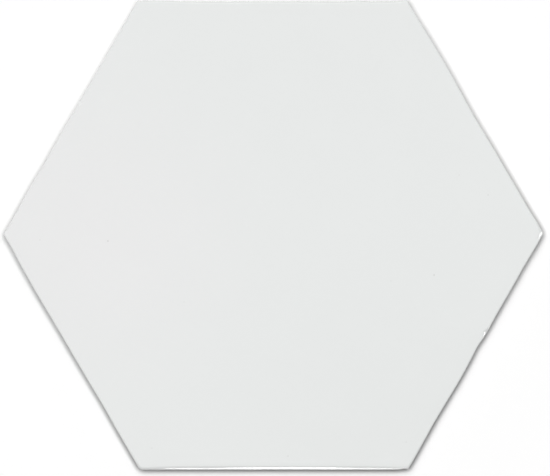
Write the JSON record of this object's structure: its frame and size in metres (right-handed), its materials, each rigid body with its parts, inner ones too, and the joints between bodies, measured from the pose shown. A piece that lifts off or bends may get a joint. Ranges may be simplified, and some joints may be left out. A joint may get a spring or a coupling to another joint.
{
  "type": "hexagon floor tile",
  "caption": "Flat hexagonal ceramic floor tile with a smooth white glazed face, softly rolled edges and a honeycomb relief pressed into its back.",
  "frame": {"origin": "centre of the back, on the plane that its ribs and rim rest on", "axes": "+Z out of the glazed face, +X towards a corner, +Y square to a side"},
  "size_m": [0.2014, 0.175, 0.009],
  "materials": {
    "glazed_ceramic": "gloss"
  },
  "bodies": {
    "root": {"tile": "glazed_ceramic"}
  },
  "joints": []
}
